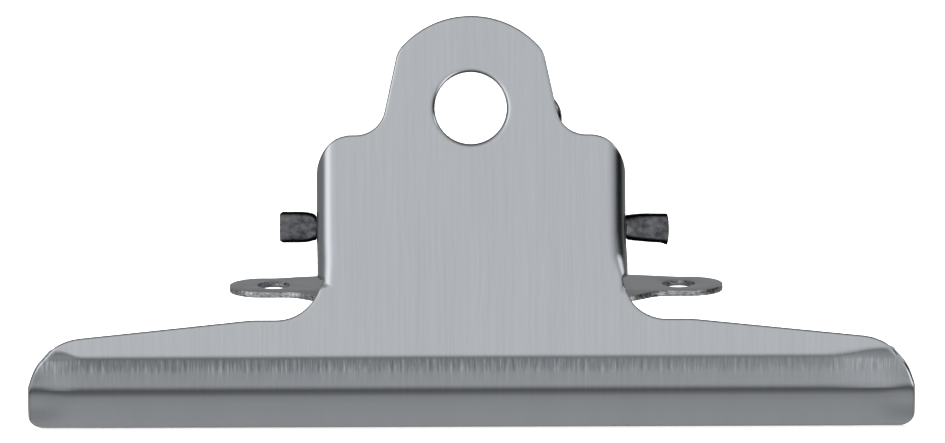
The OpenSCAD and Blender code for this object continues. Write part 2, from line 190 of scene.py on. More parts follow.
def brushed_lever_steel():
    """Satin steel sheet brushed up and down, which draws the light out into upright streaks: fine ones half a
    millimetre apart, and long, very faint bands where the belt pressed harder. The real scratches are finer
    than a pixel, so they are drawn as coarse as they need to show."""
    light, dark, roughness, streak_mm = "#cdd1d5", "#c2c6cb", 0.22, 0.003
    material, tree, steel = bare_steel("brushed_lever_steel")
    steel.inputs["Anisotropic"].default_value = 0.6
    flat = add_node(tree, "ShaderNodeUVMap", uv_map="flat")
    fine = add_node(tree, "ShaderNodeMapping", values={"Scale": (2.2, 0.05, 1.0)},
                    links={"Vector": flat.outputs[0]})
    streaks = add_node(tree, "ShaderNodeTexNoise", values={"Scale": 1.0, "Detail": 4.0, "Roughness": 0.8},
                       links={"Vector": fine.outputs[0]})
    broad = add_node(tree, "ShaderNodeMapping", values={"Scale": (0.22, 0.018, 1.0)},
                     links={"Vector": flat.outputs[0]})
    bands = add_node(tree, "ShaderNodeTexNoise", values={"Scale": 1.0, "Detail": 2.0, "Roughness": 0.5},
                     links={"Vector": broad.outputs[0]})
    tint = add_node(tree, "ShaderNodeMix", data_type="FLOAT", values={0: 0.75},
                    links={2: bands.outputs["Fac"], 3: streaks.outputs["Fac"]})
    colour = add_node(tree, "ShaderNodeValToRGB", links={"Fac": tint.outputs[0]},
                      stops=[(0.3, linear(dark)), (0.7, linear(light))])
    # the strip below the first bend gets scratches with painted highlight and painted shade
    face = press_scuffs_and_painted_streaks(tree, flat, colour.outputs["Color"], dark)
    rough = add_node(tree, "ShaderNodeMapRange", links={"Value": streaks.outputs["Fac"]},
                     values={"From Min": 0.3, "From Max": 0.7,
                             "To Min": roughness - 0.04, "To Max": roughness + 0.05})
    bump = add_node(tree, "ShaderNodeBump", values={"Strength": 0.35, "Distance": streak_mm * MM},
                    links={"Height": streaks.outputs["Fac"]})
    along = add_node(tree, "ShaderNodeTangent", direction_type="UV_MAP", uv_map="flat")
    tree.links.new(face.outputs[2], steel.inputs["Base Color"])
    tree.links.new(rough.outputs[0], steel.inputs["Roughness"])
    tree.links.new(bump.outputs[0], steel.inputs["Normal"])
    tree.links.new(along.outputs[0], steel.inputs["Tangent"])
    return material


def mottled_steel(name, light, dark, roughness, grain_mm, pit_mm, drawn=1.0, metallic=1.0, painted_side_shade=False):
    """Steel with a mottle of the given grain, drawn out along x, as rolling, drawing or shearing leaves it.
    It can also paint the colour near black where the surface turns away from the view: painted shade at a
    round's sides."""
    material, tree, steel = bare_steel(name, metallic)
    place = add_node(tree, "ShaderNodeTexCoord")
    long = add_node(tree, "ShaderNodeMapping", values={"Scale": (1 / drawn, 1.0, 1.0)},
                    links={"Vector": place.outputs["Object"]})
    mottle = add_node(tree, "ShaderNodeTexNoise", links={"Vector": long.outputs[0]},
                      values={"Scale": 1 / (grain_mm * MM), "Detail": 4.0, "Roughness": 0.7})
    colour = add_node(tree, "ShaderNodeValToRGB", links={"Fac": mottle.outputs["Fac"]},
                      stops=[(0.3, linear(dark)), (0.7, linear(light))])
    rough = add_node(tree, "ShaderNodeMapRange", links={"Value": mottle.outputs["Fac"]},
                     values={"From Min": 0.3, "From Max": 0.7,
                             "To Min": roughness - 0.05, "To Max": roughness + 0.06})
    bump = add_node(tree, "ShaderNodeBump", values={"Strength": 0.3, "Distance": pit_mm * MM},
                    links={"Height": mottle.outputs["Fac"]})
    skin = colour.outputs["Color"]
    if painted_side_shade:
        # painted shade: near black where the surface turns away from the view
        glance = add_node(tree, "ShaderNodeLayerWeight", values={"Blend": 0.5})
        side = add_node(tree, "ShaderNodeMapRange", values={"From Min": 0.08, "From Max": 0.26},
                        links={"Value": glance.outputs["Facing"]})
        skin = add_node(tree, "ShaderNodeMix", data_type="RGBA", values={7: linear("#070808")},
                        links={0: side.outputs[0], 6: skin}).outputs[2]
    tree.links.new(skin, steel.inputs["Base Color"])
    tree.links.new(rough.outputs[0], steel.inputs["Roughness"])
    tree.links.new(bump.outputs[0], steel.inputs["Normal"])
    return material


def sheared_edge_steel():
    """The wall that the shear leaves round the lever: a matt grey band next to the face, and past the middle
    of the sheet the rough break, coloured near black as painted shade that draws a thin dark line round the
    rim."""
    material = mottled_steel("sheared_edge_steel", "#b8bbbe", "#989b9e", 0.55, grain_mm=0.3, pit_mm=0.02,
                             metallic=0.4)
    tree = material.node_tree
    steel = tree.nodes["Principled BSDF"]
    at = add_node(tree, "ShaderNodeUVMap", uv_map="flat")
    depth = add_node(tree, "ShaderNodeSeparateXYZ", links={0: at.outputs[0]})
    # painted shade: the wall's lower part is coloured near black
    broken = add_node(tree, "ShaderNodeMapRange", values={"From Min": 0.5, "From Max": 0.6},
                      links={"Value": depth.outputs["Y"]})
    skin = steel.inputs["Base Color"].links[0].from_socket
    wall = add_node(tree, "ShaderNodeMix", data_type="RGBA", values={7: linear("#2a2c2e")},
                    links={0: broken.outputs[0], 6: skin})
    tree.links.new(wall.outputs[2], steel.inputs["Base Color"])
    return material


lever_steel = brushed_lever_steel()
cut_edge_steel = sheared_edge_steel()
# the base is plain sheet as rolled: satin, and very faintly cloudy
base_steel = mottled_steel("rolled_base_steel", "#b9bdc0", "#a6aaae", 0.33, grain_mm=1.2, pit_mm=0.004)
# its cut walls are mottled dark and bright at random, and the near-white flecks are painted glints
base_cut_steel = mottled_steel("torn_base_steel", "#f0f2f4", "#34373a", 0.34, grain_mm=0.3, pit_mm=0.05,
                               drawn=2.5)
# the axle is drawn tube with a dark and blotchy skin, and painted shade along its sides
axle_steel = mottled_steel("drawn_axle_steel", "#8c8e92", "#282a2d", 0.3, grain_mm=1.5, pit_mm=0.025,
                           drawn=1.4, painted_side_shade=True)
# the spring is drawn wire, smooth and shiny
spring_wire = mottled_steel("drawn_spring_wire", "#b2b4b7", "#8c8e91", 0.18, grain_mm=0.6, pit_mm=0.004)


# Flat outlines

def on_circle(centre, radius, angle):
    return centre + radius * np.array([math.cos(angle), math.sin(angle)])


def turn(a, b, c, radius, step=4.0):
    """Points of an arc that rounds corner b between a and c, a step of degrees apart."""
    a, b, c = (np.array(p, float) for p in (a, b, c))
    to_a, to_c = (a - b) / np.linalg.norm(a - b), (c - b) / np.linalg.norm(c - b)
    opening = math.acos(float(np.clip(to_a @ to_c, -1, 1)))
    centre = b + (to_a + to_c) / np.linalg.norm(to_a + to_c) * radius / math.sin(opening / 2)
    first = b + to_a * radius / math.tan(opening / 2) - centre
    last = b + to_c * radius / math.tan(opening / 2) - centre
    start = math.atan2(first[1], first[0])
    sweep = (math.atan2(last[1], last[0]) - start + math.pi) % (2 * math.pi) - math.pi
    steps = max(2, math.ceil(abs(math.degrees(sweep)) / step))
    return [on_circle(centre, radius, start + sweep * i / steps) for i in range(steps + 1)]


def circle(x, y, radius, points):
    return [on_circle(np.array([x, y]), radius, 2 * math.pi * i / points) for i in range(points)]


def resampled(loop, longest):
    """The closed loop with every side cut into lengths of at most `longest`."""
    out = []
    for i, p in enumerate(loop):
        q = loop[(i + 1) % len(loop)]
        length = float(np.linalg.norm(q - p))
        if length < 1e-4:
            continue
        parts = max(1, math.ceil(length / longest))
        out += [p + (q - p) * k / parts for k in range(parts)]
    return np.array(out)


def signed_area(loop):
    x, y = loop[:, 0], loop[:, 1]
    return 0.5 * float(np.sum(x * np.roll(y, -1) - y * np.roll(x, -1)))


def ease(at, start, length):
    """0 up to `start`, then smoothly up to 1 over `length`."""
    t = np.clip((at - start) / length, 0, 1)
    return t * t * (3 - 2 * t)


def inside_and_clear(points, loops):
    """For each point, whether the loops' even-odd rule holds it, and its distance to the nearest loop."""
    held = np.zeros(len(points), bool)
    clear = np.full(len(points), 1e9)
    for loop in loops:
        for p, q in zip(loop, np.roll(loop, -1, axis=0)):
            side = q - p
            crosses = (p[1] > points[:, 1]) != (q[1] > points[:, 1])
            if side[1] != 0:
                at = p[0] + (points[:, 1] - p[1]) / side[1] * side[0]
                held ^= crosses & (points[:, 0] < at)
            t = np.clip(((points - p) @ side) / (side @ side), 0, 1)
            clear = np.minimum(clear, np.linalg.norm(points - (p + t[:, None] * side), axis=1))
    return held, clear


# Pressed sheet: a flat outline, bent onto a surface, with a rolled edge, a sheared wall and a faint burr

def frame_of(surface, flat):
    """Points, unit normals and the two stretches of a surface at flat points (s, u)."""
    h = 0.004
    at = surface(flat[:, 0], flat[:, 1])
    ds = (surface(flat[:, 0] + h, flat[:, 1]) - surface(flat[:, 0] - h, flat[:, 1])) / (2 * h)
    du = (surface(flat[:, 0], flat[:, 1] + h) - surface(flat[:, 0], flat[:, 1] - h)) / (2 * h)
    normal = np.cross(ds, du)
    normal /= np.linalg.norm(normal, axis=1)[:, None]
    return at, normal, np.linalg.norm(ds, axis=1), np.linalg.norm(du, axis=1)


def left_of(directions):
    """Unit vectors to the left of flat directions."""
    lengths = np.linalg.norm(directions, axis=1)[:, None]
    return np.stack([-directions[:, 1], directions[:, 0]], axis=1) / lengths


def rolled(radius, away):
    """How far an edge rounded to `radius` lies below its face, at a distance inward from the cut."""
    return radius - np.sqrt(np.maximum(radius ** 2 - (radius - np.minimum(away, radius)) ** 2, 0))


def rim_rings(surface, loop, roll):
    """Rings of flat points inward from a cut edge, and how far the face and the back are rounded at each."""
    ahead, behind = np.roll(loop, -1, axis=0) - loop, loop - np.roll(loop, 1, axis=0)
    inward = left_of(ahead) + left_of(behind)
    inward /= np.linalg.norm(inward, axis=1)[:, None]
    _, _, across, along = frame_of(surface, loop)
    flat, depth, low = [], [], []
    for away in [part * roll for part in RING_STEPS] + [roll + FLAT_RING]:
        flat += list(loop + inward * np.stack([away / across, away / along], axis=1))
        depth += list(rolled(roll, away))
        low += list(rolled(BURR, away))
    return flat, depth, low


def triangles_between(flat, sides, loops):
    """Triangles that join the flat points inside the loops and keep the loops' own sides."""
    out, _, triangles, origins, _, _ = delaunay_2d_cdt([Vector(p) for p in flat], sides, [], 0, 1e-6)
    source = np.array([o[0] if o else -1 for o in origins])
    if (source < 0).any():
        raise ValueError("a flat outline crosses itself")
    out = [np.array(p) for p in out]
    centres = np.array([(out[a] + out[b] + out[c]) / 3 for a, b, c in triangles])
    held, _ = inside_and_clear(centres, loops)
    return np.array([[source[i] for i in t] for t in triangles])[held]


def pressed_sheet(name, edges, surface, s_lines, u_lines, face, wall):
    """Builds the lever's sheet. edges holds (loop, roll radius) for the outline and then for each hole, where
    the radius may be a function of the loop. face and wall are the materials of the faces and the cut."""
    loops, flat, depth, low, loop_starts = [], [], [], [], []
    for loop, roll in edges:
        loop = resampled(loop, RIM_SPACING)
        if (signed_area(loop) > 0) != (not loops):
            loop = loop[::-1]
        loops.append(loop)
        loop_starts.append(len(flat))
        rings = rim_rings(surface, loop, roll(loop) if callable(roll) else np.full(len(loop), roll))
        for kept, more in zip((flat, depth, low), rings):
            kept.extend(more)

    grid = np.array([(s, u) for s in s_lines for u in u_lines])
    held, clear = inside_and_clear(grid, loops)
    grid = grid[held & (clear > GRID_CLEAR)]
    flat = np.array(flat + list(grid))
    depth, low = (np.array(part + [0.0] * len(grid)) for part in (depth, low))

    rims = [(a, len(loop)) for a, loop in zip(loop_starts, loops)]
    sides = [(a + i, a + (i + 1) % n) for a, n in rims for i in range(n)]
    triangles = triangles_between(flat, sides, loops)

    at, normal, _, _ = frame_of(surface, flat)
    top = at - normal * depth[:, None]
    under = at - normal * (SHEET - low)[:, None]
    count = len(flat)
    faces = [tuple(t) for t in triangles] + [(t[2] + count, t[1] + count, t[0] + count) for t in triangles]
    texture = [[tuple(flat[i % count]) for i in f] for f in faces]
    slots = [0] * len(faces)
    for a, n in rims:
        run = np.concatenate([[0], np.cumsum(np.linalg.norm(np.diff(at[a:a + n], axis=0), axis=1))])
        for i in range(n):
            j = (i + 1) % n
            far = run[j] if j else run[i] + RIM_SPACING
            faces.append((a + i, a + i + count, a + j + count, a + j))
            texture.append([(run[i], 0), (run[i], SHEET), (far, SHEET), (far, 0)])
            slots.append(1)
    return solid_mesh(name, np.concatenate([top, under]), faces, [face, wall], slots, texture)


def solid_mesh(name, points, faces, materials, slots=None, texture=None):
    """An object with smooth faces from points in millimetres. Its flat sizes are kept as a map named flat."""
    mesh = bpy.data.meshes.new(name)
    mesh.from_pydata([tuple(p) for p in np.asarray(points) * MM], [], faces)
    for material in materials:
        mesh.materials.append(material)
    if slots:
        mesh.polygons.foreach_set("material_index", slots)
    if texture:
        layer = mesh.uv_layers.new(name="flat")
        layer.data.foreach_set("uv", np.array([c for f in texture for c in f], np.float32).ravel())
    used = bmesh.new()
    used.from_mesh(mesh)
    bmesh.ops.delete(used, geom=[v for v in used.verts if not v.link_faces], context="VERTS")
    used.to_mesh(mesh)
    used.free()
    mesh.polygons.foreach_set("use_smooth", [True] * len(mesh.polygons))
    mesh.update()
    return placed(name, mesh)


def placed(name, data):
    """A new object in the scene."""
    made = bpy.data.objects.new(name, data)
    bpy.context.scene.collection.objects.link(made)
    return made


# The lever

def bend_share(u, side=1):
    """How much of the flanges' right angle the sheet has at height u: about half in the shoulders above them,
    and none in the arms below. The press has ended the left bend (side -1) higher and more bluntly."""
    top = 1 - 0.45 * ease(u, 8.0, 2.6)
    return top * np.where(side > 0, ease(u, -9.9, 3.4), ease(u, -8.8, 2.5))


def bend_radius(u, side=1):
    """Both bends grow tighter towards the foot of the body, the right one much more."""
    return FLANGE_BEND_R - np.where(side > 0, 1.3, 0.2) * ease(-u, 4.0, 4.0)


def flat_across(x, u):
    """The flat distance s across the lever of a place that the front view shows at x."""
    limit = math.pi / 2 * float(bend_share(u))
    radius = float(bend_radius(u))
    reach = x - (HALF_BODY - radius)
    if reach <= 0:
        return x
    if reach <= radius * math.sin(limit) or limit > 1.5:
        return HALF_BODY - radius + radius * math.asin(min(1.0, reach / radius))
    return HALF_BODY - radius + radius * limit + (reach - radius * math.sin(limit)) / math.cos(limit)


def jaw_profile():
    """The jaw's outer face from the side: depth below the axle and height over it, along the sheet.
    The strip leaves the first bend too steeply and springs back, so it is a little hollow. The lip goes on
    curving slightly, the same way as the bends."""
    first = STRIP_BEND_R * STRIP_ANGLE
    second = LIP_BEND_R * (LIP_ANGLE - STRIP_ANGLE)
    ends = np.cumsum([0, first, STRIP_LEN, second, LIP_LEN])
    along = np.arange(0, ends[-1] + PROFILE_SPARE, PROFILE_STEP)
    places = [0, first, first + 0.6, first + 1.5, first + 2.2, ends[2], ends[3], ends[3] + 1.5, ends[4]]
    steeper = np.interp(along, places, np.radians([0, 7.2, 4.3, 2.8, 0.2, -0.6, -2.2, -0.6, 1.8]))
    angle = steeper + np.interp(along, [0, first, ends[2], ends[3]], [0, STRIP_ANGLE, STRIP_ANGLE, LIP_ANGLE])
    down = BEND_START + np.concatenate([[0], np.cumsum(np.cos(angle[:-1]) * PROFILE_STEP)])
    out = FACE - np.concatenate([[0], np.cumsum(np.sin(angle[:-1]) * PROFILE_STEP)])
    return down, out


PROFILE_DOWN, PROFILE_OUT = jaw_profile()


def jaw_depth(x, d, side=-1):
    """Height of the outer face over the axle at distance x from the middle and d below the axle.
    The press pulls the first bend up near the jaw's ends, sooner and more gently on the right (side 1),
    and lets it drop again round the corner. The second bend follows it a little."""
    pull = np.where(side > 0, 1.1 * ease(x, 47.5, 8.0), ease(x, 52.6, 3.0)) * (1 - 0.75 * ease(x, 56.0, 3.4))
    first_up = 0.8 * pull * np.clip((22.3 - d) / 3.9, 0, 1)
    second_up = 0.25 * ease(x, 53.5, 5.0) * ease(d, 19.5, 2.0) * (1 - ease(d, 24.0, 2.8))
    return np.interp(d + first_up + second_up, PROFILE_DOWN, PROFILE_OUT)


def lever_surface(s, u):
    """The lever's outer face, bent and in its place, at flat points (s, u)."""
    across = np.abs(s)
    limit = math.pi / 2 * bend_share(u, s)
    radius = bend_radius(u, s)
    past = np.clip(across - (HALF_BODY - radius), 0, None)
    angle = np.minimum(past / radius, limit)
    rest = past - radius * angle
    x = np.minimum(across, HALF_BODY - radius) + radius * np.sin(angle) + rest * np.cos(limit)
    out = jaw_depth(across, -u, s) - radius * (1 - np.cos(angle)) - rest * np.sin(limit)
    # the jaw's strip has a slight twist, and the foot of the body stands a hair to the right
    out = out + 0.03 * s / HALF_JAW * np.clip(-u - 18.0, 0, 4.4)
    skew = (0.16 + 0.08 * np.sign(s)) * ease(-u, 1.0, 4.5) * (1 - ease(-u, 8.5, 3.0))
    # the blank was cut a hair long at its left end
    skew = skew - 0.12 * ease(-s, 46.0, 12.0)
    return on_lever(np.sign(s) * x + skew, out, u)


def on_lever(x, out, u):
    """Lever sizes, out towards the outer face and u up, as places in the frame."""
    return np.stack([x - SIDE_PLAY, AXLE_Y - out * math.cos(LEAN) + u * math.sin(LEAN),
                     AXLE_Z + out * math.sin(LEAN) + u * math.cos(LEAN)], axis=-1)


def tab_and_shoulder():
    """The round top of the tab, its right corner and side, the neck and the shoulder."""
    corner_turn = math.acos((TAB_R - TAB_SIDE_IN - TAB_CORNER_R) / (TAB_R - TAB_CORNER_R))
    touch = TAB_TAPER + corner_turn + TAB_TOUCH
    edge = (TAB_R - TAB_SIDE_IN) / math.cos(TAB_TAPER) + EYE_U * math.tan(TAB_TAPER)
    corner_u = ((TAB_R + EYE_U * math.sin(touch) - edge * math.cos(touch))
                / (math.sin(touch) - math.cos(touch) * math.tan(TAB_TAPER)))
    tab_corner = (edge - corner_u * math.tan(TAB_TAPER), corner_u)
    neck = (edge - SHOULDER_U * math.tan(TAB_TAPER), SHOULDER_U)
    shoulder = (HALF_BODY, SHOULDER_U)
    points = [np.array([TAB_R * math.sin(a), EYE_U + TAB_R * math.cos(a)])
              for a in np.linspace(0, math.pi / 2 - touch, 13)]
    points += turn((0, EYE_U + TAB_R / math.sin(touch)), tab_corner, neck, TAB_CORNER_R)
    points += turn(tab_corner, neck, shoulder, NECK_R, 5)
    for p in turn(neck, shoulder, (HALF_BODY, 0), SHOULDER_R, 3):
        points.append(np.array([flat_across(p[0], p[1]), p[1]]))
    return points


def flange_end():
    """The flange's round end about the axle, from its upper edge to its lower one."""
    centre = np.array([BORE_S, 0.0])
    upper = np.array([FLANGE_S, SHOULDER_U - SHOULDER_R]) - centre
    lower = np.array([FLANGE_S, FLANGE_BOTTOM]) - centre
    begin = math.atan2(upper[1], upper[0]) - math.acos(FLANGE_END_R / np.linalg.norm(upper))
    finish = math.atan2(lower[1], lower[0]) + math.acos(FLANGE_END_R / np.linalg.norm(lower))
    return [on_circle(centre, FLANGE_END_R, a) for a in np.linspace(begin, finish, 31)]


def notch_and_arm(flange_tip):
    """The flange's lower edge, the notch at its foot, the arm and the jaw's upper corner."""
    mouth = (FLANGE_S, FLANGE_BOTTOM)
    root = (BODY_SIDE, FLANGE_BOTTOM - NOTCH_SLOPE)
    arm = (BODY_SIDE, -ARM_ROOT)
    level_end = (ARM_EASE_S, -ARM_ROOT)
    jaw = (HALF_JAW, JAW_TOP)
    points = turn(flange_tip, mouth, root, NOTCH_MOUTH_R, 10)
    points += turn(mouth, root, (BODY_SIDE + NOTCH_FLARE, NOTCH_FOOT_U), NOTCH_ROOT_R, 12)
    # the fillet starts level with the flange, so its first points are left out
    points += turn((BODY_SIDE, 0), arm, level_end, ARM_FILLET_R)[2:]
    points += turn(arm, level_end, jaw, ARM_EASE_R, 2)
    points += turn(level_end, jaw, (HALF_JAW, -LIP_ENDS[1][0]), JAW_CORNER_R, 3)
    return points


def lowered(points, side):
    """Where the jaw's corner leans back, its cut edge shows above its face, so the face ends a little lower.
    The corner is also a little flatter just past the bend, more so at the left end (side -1)."""
    drop = np.zeros(len(points))
    for i, (p, q) in enumerate(zip(points[:-1], points[1:])):
        facing_up = (q - p)[0] / np.linalg.norm(q - p)
        if -24 < p[1] < -16 and p[0] > 50 and facing_up > 0:
            slope = float(jaw_depth(p[0], -p[1] - 0.5, side) - jaw_depth(p[0], -p[1] + 0.5, side))
            leaning = max(0.0, math.atan(slope) - math.radians(4))
            drop[i] = SHEET * math.sin(leaning) * float(ease(facing_up, 0, 0.35))
            drop[i] += (0.21 - 0.03 * side) * float(ease(p[0], 56.3, 0.6) * (1 - ease(p[0], 57.2, 1.6)))
    drop[1:-1] = (drop[:-2] + 2 * drop[1:-1] + drop[2:]) / 4
    return [np.array([p[0], p[1] - low]) for p, low in zip(points, drop)]


def lip_corner(edge, radius):
    """A lower corner of the jaw. The lip slopes away, so in the front view its round corner is flattened."""
    kept = LIP_CORNER_FLATTENED
    return [np.array([p[0], kept * p[1] - (1 - kept) * edge])
            for p in turn((HALF_JAW, JAW_TOP), (HALF_JAW, -edge), (0, -edge), radius, 8)]


def lever_outline():
    """The flat outline of the lever, from the tab down its right side and up its left."""
    half = tab_and_shoulder() + flange_end()
    half += notch_and_arm(half[-1])
    left_half, right_half = (lowered(half, side) + lip_corner(*end) for side, end in zip((-1, 1), LIP_ENDS))
    return right_half + [np.array([-p[0], p[1]]) for p in left_half[:0:-1]]


def lines(*runs):
    """Grid lines: each run is (from, to, spacing)."""
    out = []
    for start, stop, step in runs:
        out += list(np.linspace(start, stop, max(1, round((stop - start) / step)), endpoint=False))
    return out + [runs[-1][1]]


def outline_roll(loop):
    """How far the shear rolls the rim over, a little more round the jaw's corners."""
    return RIM_ROLL + JAW_CORNER_ROLL * ease(-loop[:, 1], 17.2, 0.8) * ease(np.abs(loop[:, 0]), 50, 4)


def build_lever():
    eye = circle(0, EYE_U, EYE_R, 96)
    bores = [circle(side * BORE_S, 0, AXLE_D / 2 + AXLE_FIT, 40) for side in (-1, 1)]
    # the grid is fine across the flanges' bends and the jaw's corners, and along the two bends of the jaw
    half = lines((0, 18, 1.0), (18, 22.8, 0.2), (22.8, 52.5, 1.0), (52.5, HALF_JAW, 0.35))
    s_lines = sorted({-v for v in half} | set(half))
    u_lines = lines((-27, -24, 0.5), (-24, -21.5, 0.13), (-21.5, -19.2, 0.3), (-19.2, -16.2, 0.12),
                    (-16.2, -10.4, 1.0), (-10.4, -4, 0.2), (-4, 7.4, 0.9), (7.4, 11.6, 0.25), (11.6, 29, 0.9))
    edges = [(lever_outline(), outline_roll), (eye, EYE_ROLL)] + [(bore, BORE_ROLL) for bore in bores]
    lever = pressed_sheet("lever_plate_pressed", edges, lever_surface, s_lines, u_lines, lever_steel,
                          cut_edge_steel)
    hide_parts("lever_plate")
    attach(lever, "lever")


# The base plate

def build_base():
    """The base plate's own solid, with the sheared edges broken as tumbling leaves them."""
    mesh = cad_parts["base_plate"].data.copy()
    mesh.name = "base_plate_tumbled"
    work = bmesh.new()
    work.from_mesh(mesh)
    bmesh.ops.remove_doubles(work, verts=work.verts, dist=1e-7)
    bmesh.ops.dissolve_limit(work, angle_limit=math.radians(0.5), verts=work.verts, edges=work.edges)
    sharp = [e for e in work.edges if len(e.link_faces) == 2 and e.calc_face_angle() > math.radians(40)]
    bmesh.ops.bevel(work, geom=sharp, offset=BASE_EDGE_BREAK * MM, segments=3, profile=0.5, affect="EDGES",
                    clamp_overlap=True)
    work.to_mesh(mesh)
    work.free()
    mesh.materials.clear()
    mesh.materials.append(base_steel)
    mesh.materials.append(base_cut_steel)
    # the plate's upright walls are cut steel, the lugs above them are not
    walls = [abs(f.normal.z) < 0.45 and f.center.z < BASE_WALL_TOP * MM for f in mesh.polygons]
    mesh.polygons.foreach_set("material_index", [int(wall) for wall in walls])
    mesh.polygons.foreach_set("use_smooth", [True] * len(mesh.polygons))
    mesh.set_sharp_from_angle(angle=math.radians(50))
    base = placed("base_plate_tumbled", mesh)
    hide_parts("base_plate")
    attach(base, "base")


# The axle tube

def tube_section(share, width, thick, round_d, points=64):
    """A section of the tube: round where share is 0, drawn flat where it is 1."""
    out = []
    straight = (width - thick) / 2
    for i in range(points):
        a = 2 * math.pi * i / points
        c, v = math.cos(a), math.sin(a)
        ring = np.array([c, v]) * round_d / 2
        lift = straight if v > 1e-9 else -straight if v < -1e-9 else 0.0
        oval = np.array([c * thick / 2, v * thick / 2 + lift * min(1.0, abs(v) * 6)])
        out.append(ring + (oval - ring) * share)
    return np.array(out)


def axle_row(x, wall, half, left, right):
    """The tube's outer and inner rings at x. It leaves the lugs at left and right and ends at half."""
    on_right = x > 0
    # the left end is drawn down quickly and then gently, the right end more evenly
    away = max(left - x, x - right, 0.0)
    flattened, taper, pull = (0.5, AXLE_RIGHT_TAPER, 2.5) if x >= 0 else (0.7, AXLE_TAPER, 3.0)
    share = 0.3 * min(1.0, away / 0.06) + flattened * (1 - (1 - min(1.0, away / taper)) ** pull)
    past_rim = max(0.0, abs(x) - half + AXLE_RIM_R)
    inset = AXLE_RIM_R - math.sqrt(max(AXLE_RIM_R ** 2 - past_rim ** 2, 0))
    # the press leaves the left end a hair high, the right end low and its lower edge turned down
    lean = 0.12 * float(ease(x, right, 0.3) + ease(x, right + 1.5, 3.5) - ease(-x, -left, 0.3))
    near_end = float(ease(abs(x), half - AXLE_BOW, AXLE_BOW))
    curl = 0.3 * near_end if on_right else 0.0
    rings = []
    for w, t, d, sign in ((AXLE_FLAT_W, AXLE_FLAT_T, AXLE_D, -1),
                          (AXLE_FLAT_W - 2 * wall, AXLE_FLAT_T - 2 * wall, AXLE_BORE, 1)):
        section = tube_section(share, w, t, d)
        radius = np.linalg.norm(section, axis=1)[:, None]
        section = section * (1 + sign * inset / np.maximum(radius, 0.3))
        # the saw cuts the left end square with broken corners, and the press bows the right end out
        ring = []
        for back, up in section:
            off = abs(up) / (AXLE_FLAT_W / 2)
            bow = near_end * (0.3 * off ** 2 if on_right else 0.4 * max(0.0, (off - 0.72) / 0.28) ** 2)
            ring.append((x - AXLE_SLIP - math.copysign(bow, x), AXLE_Y + back + lean * 0.3,
                         AXLE_Z + up - lean - curl * max(0.0, -up / 2) ** 2))
        rings.append(ring)
    return rings


def build_axle():
    wall = (AXLE_D - AXLE_BORE) / 2
    half = HALF_BODY + AXLE_OUT
    shift = SIDE_PLAY - AXLE_SLIP
    left, right = -(HALF_BODY + SEAT_GAP + shift), HALF_BODY + SEAT_GAP - shift
    # cut finely over the rounded rims and where the tube leaves the lugs
    rim = 0.16
    places = lines((-half, rim - half, 0.04), (rim - half, left - AXLE_TAPER, 0.6),
                   (left - AXLE_TAPER, left - 0.2, 0.2), (left - 0.2, left, 0.05), (left, right, 3.0),
                   (right, right + 0.2, 0.05), (right + 0.2, right + AXLE_TAPER, 0.2),
                   (right + AXLE_TAPER, half - rim, 0.6), (half - rim, half, 0.04))
    outer, inner = zip(*[axle_row(x, wall, half, left, right) for x in places])
    n, m = len(outer[0]), len(places)
    points = np.array(outer + inner).reshape(-1, 3)
    faces = []
    for k in range(m - 1):
        for i in range(n):
            a, b = k * n + i, k * n + (i + 1) % n
            faces.append((a, b, b + n, a + n))
            faces.append((a + m * n, a + n + m * n, b + n + m * n, b + m * n))
    for i in range(n):
        j = (i + 1) % n
        faces.append((i, i + m * n, j + m * n, j))
        a, b = (m - 1) * n + i, (m - 1) * n + j
        faces.append((a, b, b + m * n, a + m * n))
    axle = solid_mesh("axle_tube_drawn", points, faces, [axle_steel])
    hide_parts("axle_tube")
    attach(axle, "base")


# The spring

def on_coil(angle):
    return on_circle(0, COIL_R, angle)


def leg_and_foot(foot, leave, side):
    """A leg of the spring, from the end of its foot to where it leaves the coil, on one side of the coil."""
    leg_x = LEG_PITCH / 2
    out = foot - on_coil(leave)
    length = np.linalg.norm(out)
    out /= length
    centre = foot - FOOT_BEND_R * out
    line = [np.array([side * (leg_x - FOOT_LEN), *foot])]
    for a in np.linspace(0, math.pi / 2, 19):
        p = centre + FOOT_BEND_R * math.cos(a) * out
        line.append(np.array([side * (leg_x - FOOT_BEND_R + FOOT_BEND_R * math.sin(a)), *p]))
    for along in np.linspace(length - FOOT_BEND_R, 0, 12)[1:-1]:
        line.append(np.array([side * leg_x, *(on_coil(leave) + out * along)]))
    return line


def spring_line():
    """Centre line of the wire, as (x, back, up) from the axle, from the upper foot to the lower one."""
    foot_out = FACE - SHEET - WIRE_R - SEAT_GAP
    upper = np.array([UPPER_FOOT_U * math.sin(LEAN) - foot_out * math.cos(LEAN),
                      UPPER_FOOT_U * math.cos(LEAN) + foot_out * math.sin(LEAN)])
    lower = np.array([LOWER_FOOT_Y, BASE_T + SEAT_GAP + WIRE_R - AXLE_Z])
    leave_up = math.atan2(upper[1], upper[0]) + math.acos(COIL_R / np.linalg.norm(upper))
    leave_down = math.atan2(lower[1], lower[0]) - math.acos(COIL_R / np.linalg.norm(lower)) + 2 * math.pi
    wound = 2 * math.pi * COIL_TURNS + leave_down - leave_up
    steps = round(wound / (2 * math.pi) * 44)
    turns = [np.array([LEG_PITCH / 2 - LEG_PITCH * i / steps, *on_coil(leave_up + wound * i / steps)])
             for i in range(steps + 1)]
    return np.array(leg_and_foot(upper, leave_up, 1) + turns + leg_and_foot(lower, leave_down, -1)[::-1])


